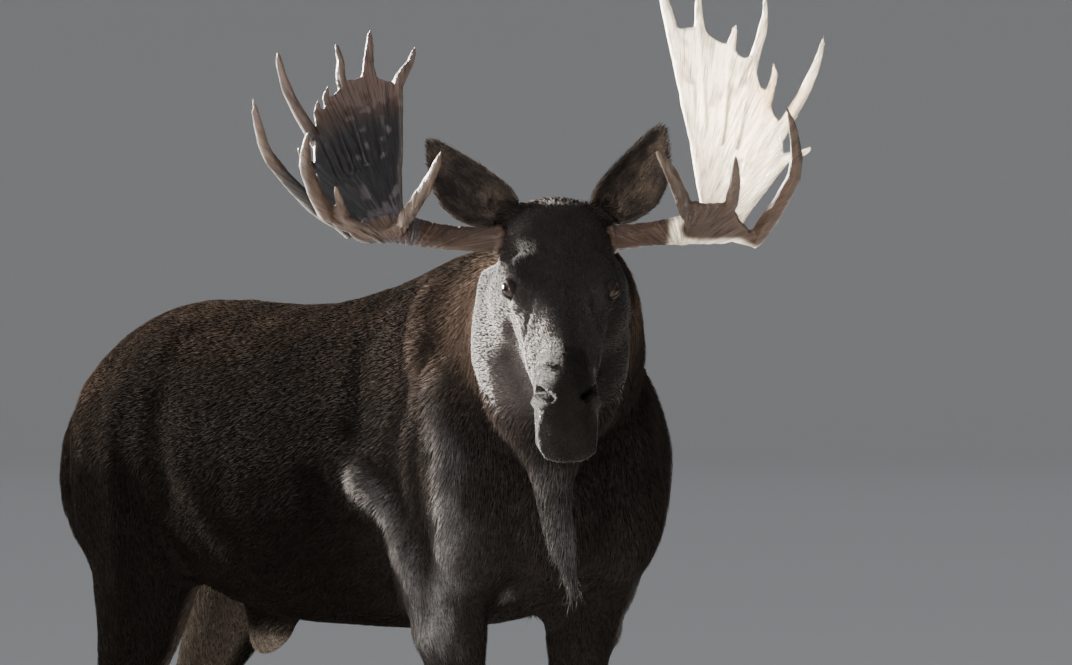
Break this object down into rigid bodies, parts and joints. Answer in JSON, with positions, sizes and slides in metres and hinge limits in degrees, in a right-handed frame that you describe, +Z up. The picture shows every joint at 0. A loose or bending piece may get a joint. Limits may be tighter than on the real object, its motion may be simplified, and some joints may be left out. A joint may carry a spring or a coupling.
{
  "type": "moose",
  "caption": "Life-size bull moose standing still on its four cloven feet, head turned to its right and tipped down, with palmate antlers and a throat bell.",
  "frame": {"origin": "on the floor, under the middle of the bounding box of the whole animal, feet and antlers included", "axes": "+Z up; the body faces -Y, with its left side towards +X and its right side towards -X"},
  "size_m": [1.1932, 2.6616, 2.2963],
  "materials": {
    "coat": "dense dark brown coat, paler and warmer over neck, hump and croup",
    "muzzle_coat": "short velvety hair",
    "ear_coat": "grey-brown hair inside, dark rim",
    "leg_coat": "short close hair",
    "belly_skin": "thinly haired skin",
    "antler_brown": "stained bone, brown, satin",
    "antler_pale": "cleaned bone, cream with fine grooves",
    "antler_grey": "bone with dark dried velvet",
    "horn": "black horn, satin",
    "eye": "wet and glossy, very dark brown"
  },
  "bodies": {
    "root": {"antler_left_beam": "antler_brown", "antler_left_brow": "antler_brown", "antler_left_palm": "antler_pale", "antler_right_beam": "antler_brown", "antler_right_brow": "antler_brown", "antler_right_palm": "antler_grey", "bell": "coat", "ear_left": "ear_coat", "ear_right": "ear_coat", "eye_left": "eye", "eye_right": "eye", "head": "coat", "muzzle": "muzzle_coat", "neck": "coat", "sheath": "belly_skin", "tail": "coat", "trunk": "coat", "leg_front_left_upper": "leg_coat", "leg_front_left_lower": "leg_coat", "hoof_front_left_a": "horn", "dewclaw_front_left_a": "horn", "hoof_front_left_b": "horn", "dewclaw_front_left_b": "horn", "leg_front_right_upper": "leg_coat", "leg_front_right_lower": "leg_coat", "hoof_front_right_a": "horn", "dewclaw_front_right_a": "horn", "hoof_front_right_b": "horn", "dewclaw_front_right_b": "horn", "leg_hind_left_upper": "leg_coat", "leg_hind_left_lower": "leg_coat", "hoof_hind_left_a": "horn", "dewclaw_hind_left_a": "horn", "hoof_hind_left_b": "horn", "dewclaw_hind_left_b": "horn", "leg_hind_right_upper": "leg_coat", "leg_hind_right_lower": "leg_coat", "hoof_hind_right_a": "horn", "dewclaw_hind_right_a": "horn", "hoof_hind_right_b": "horn", "dewclaw_hind_right_b": "horn"}
  },
  "joints": []
}
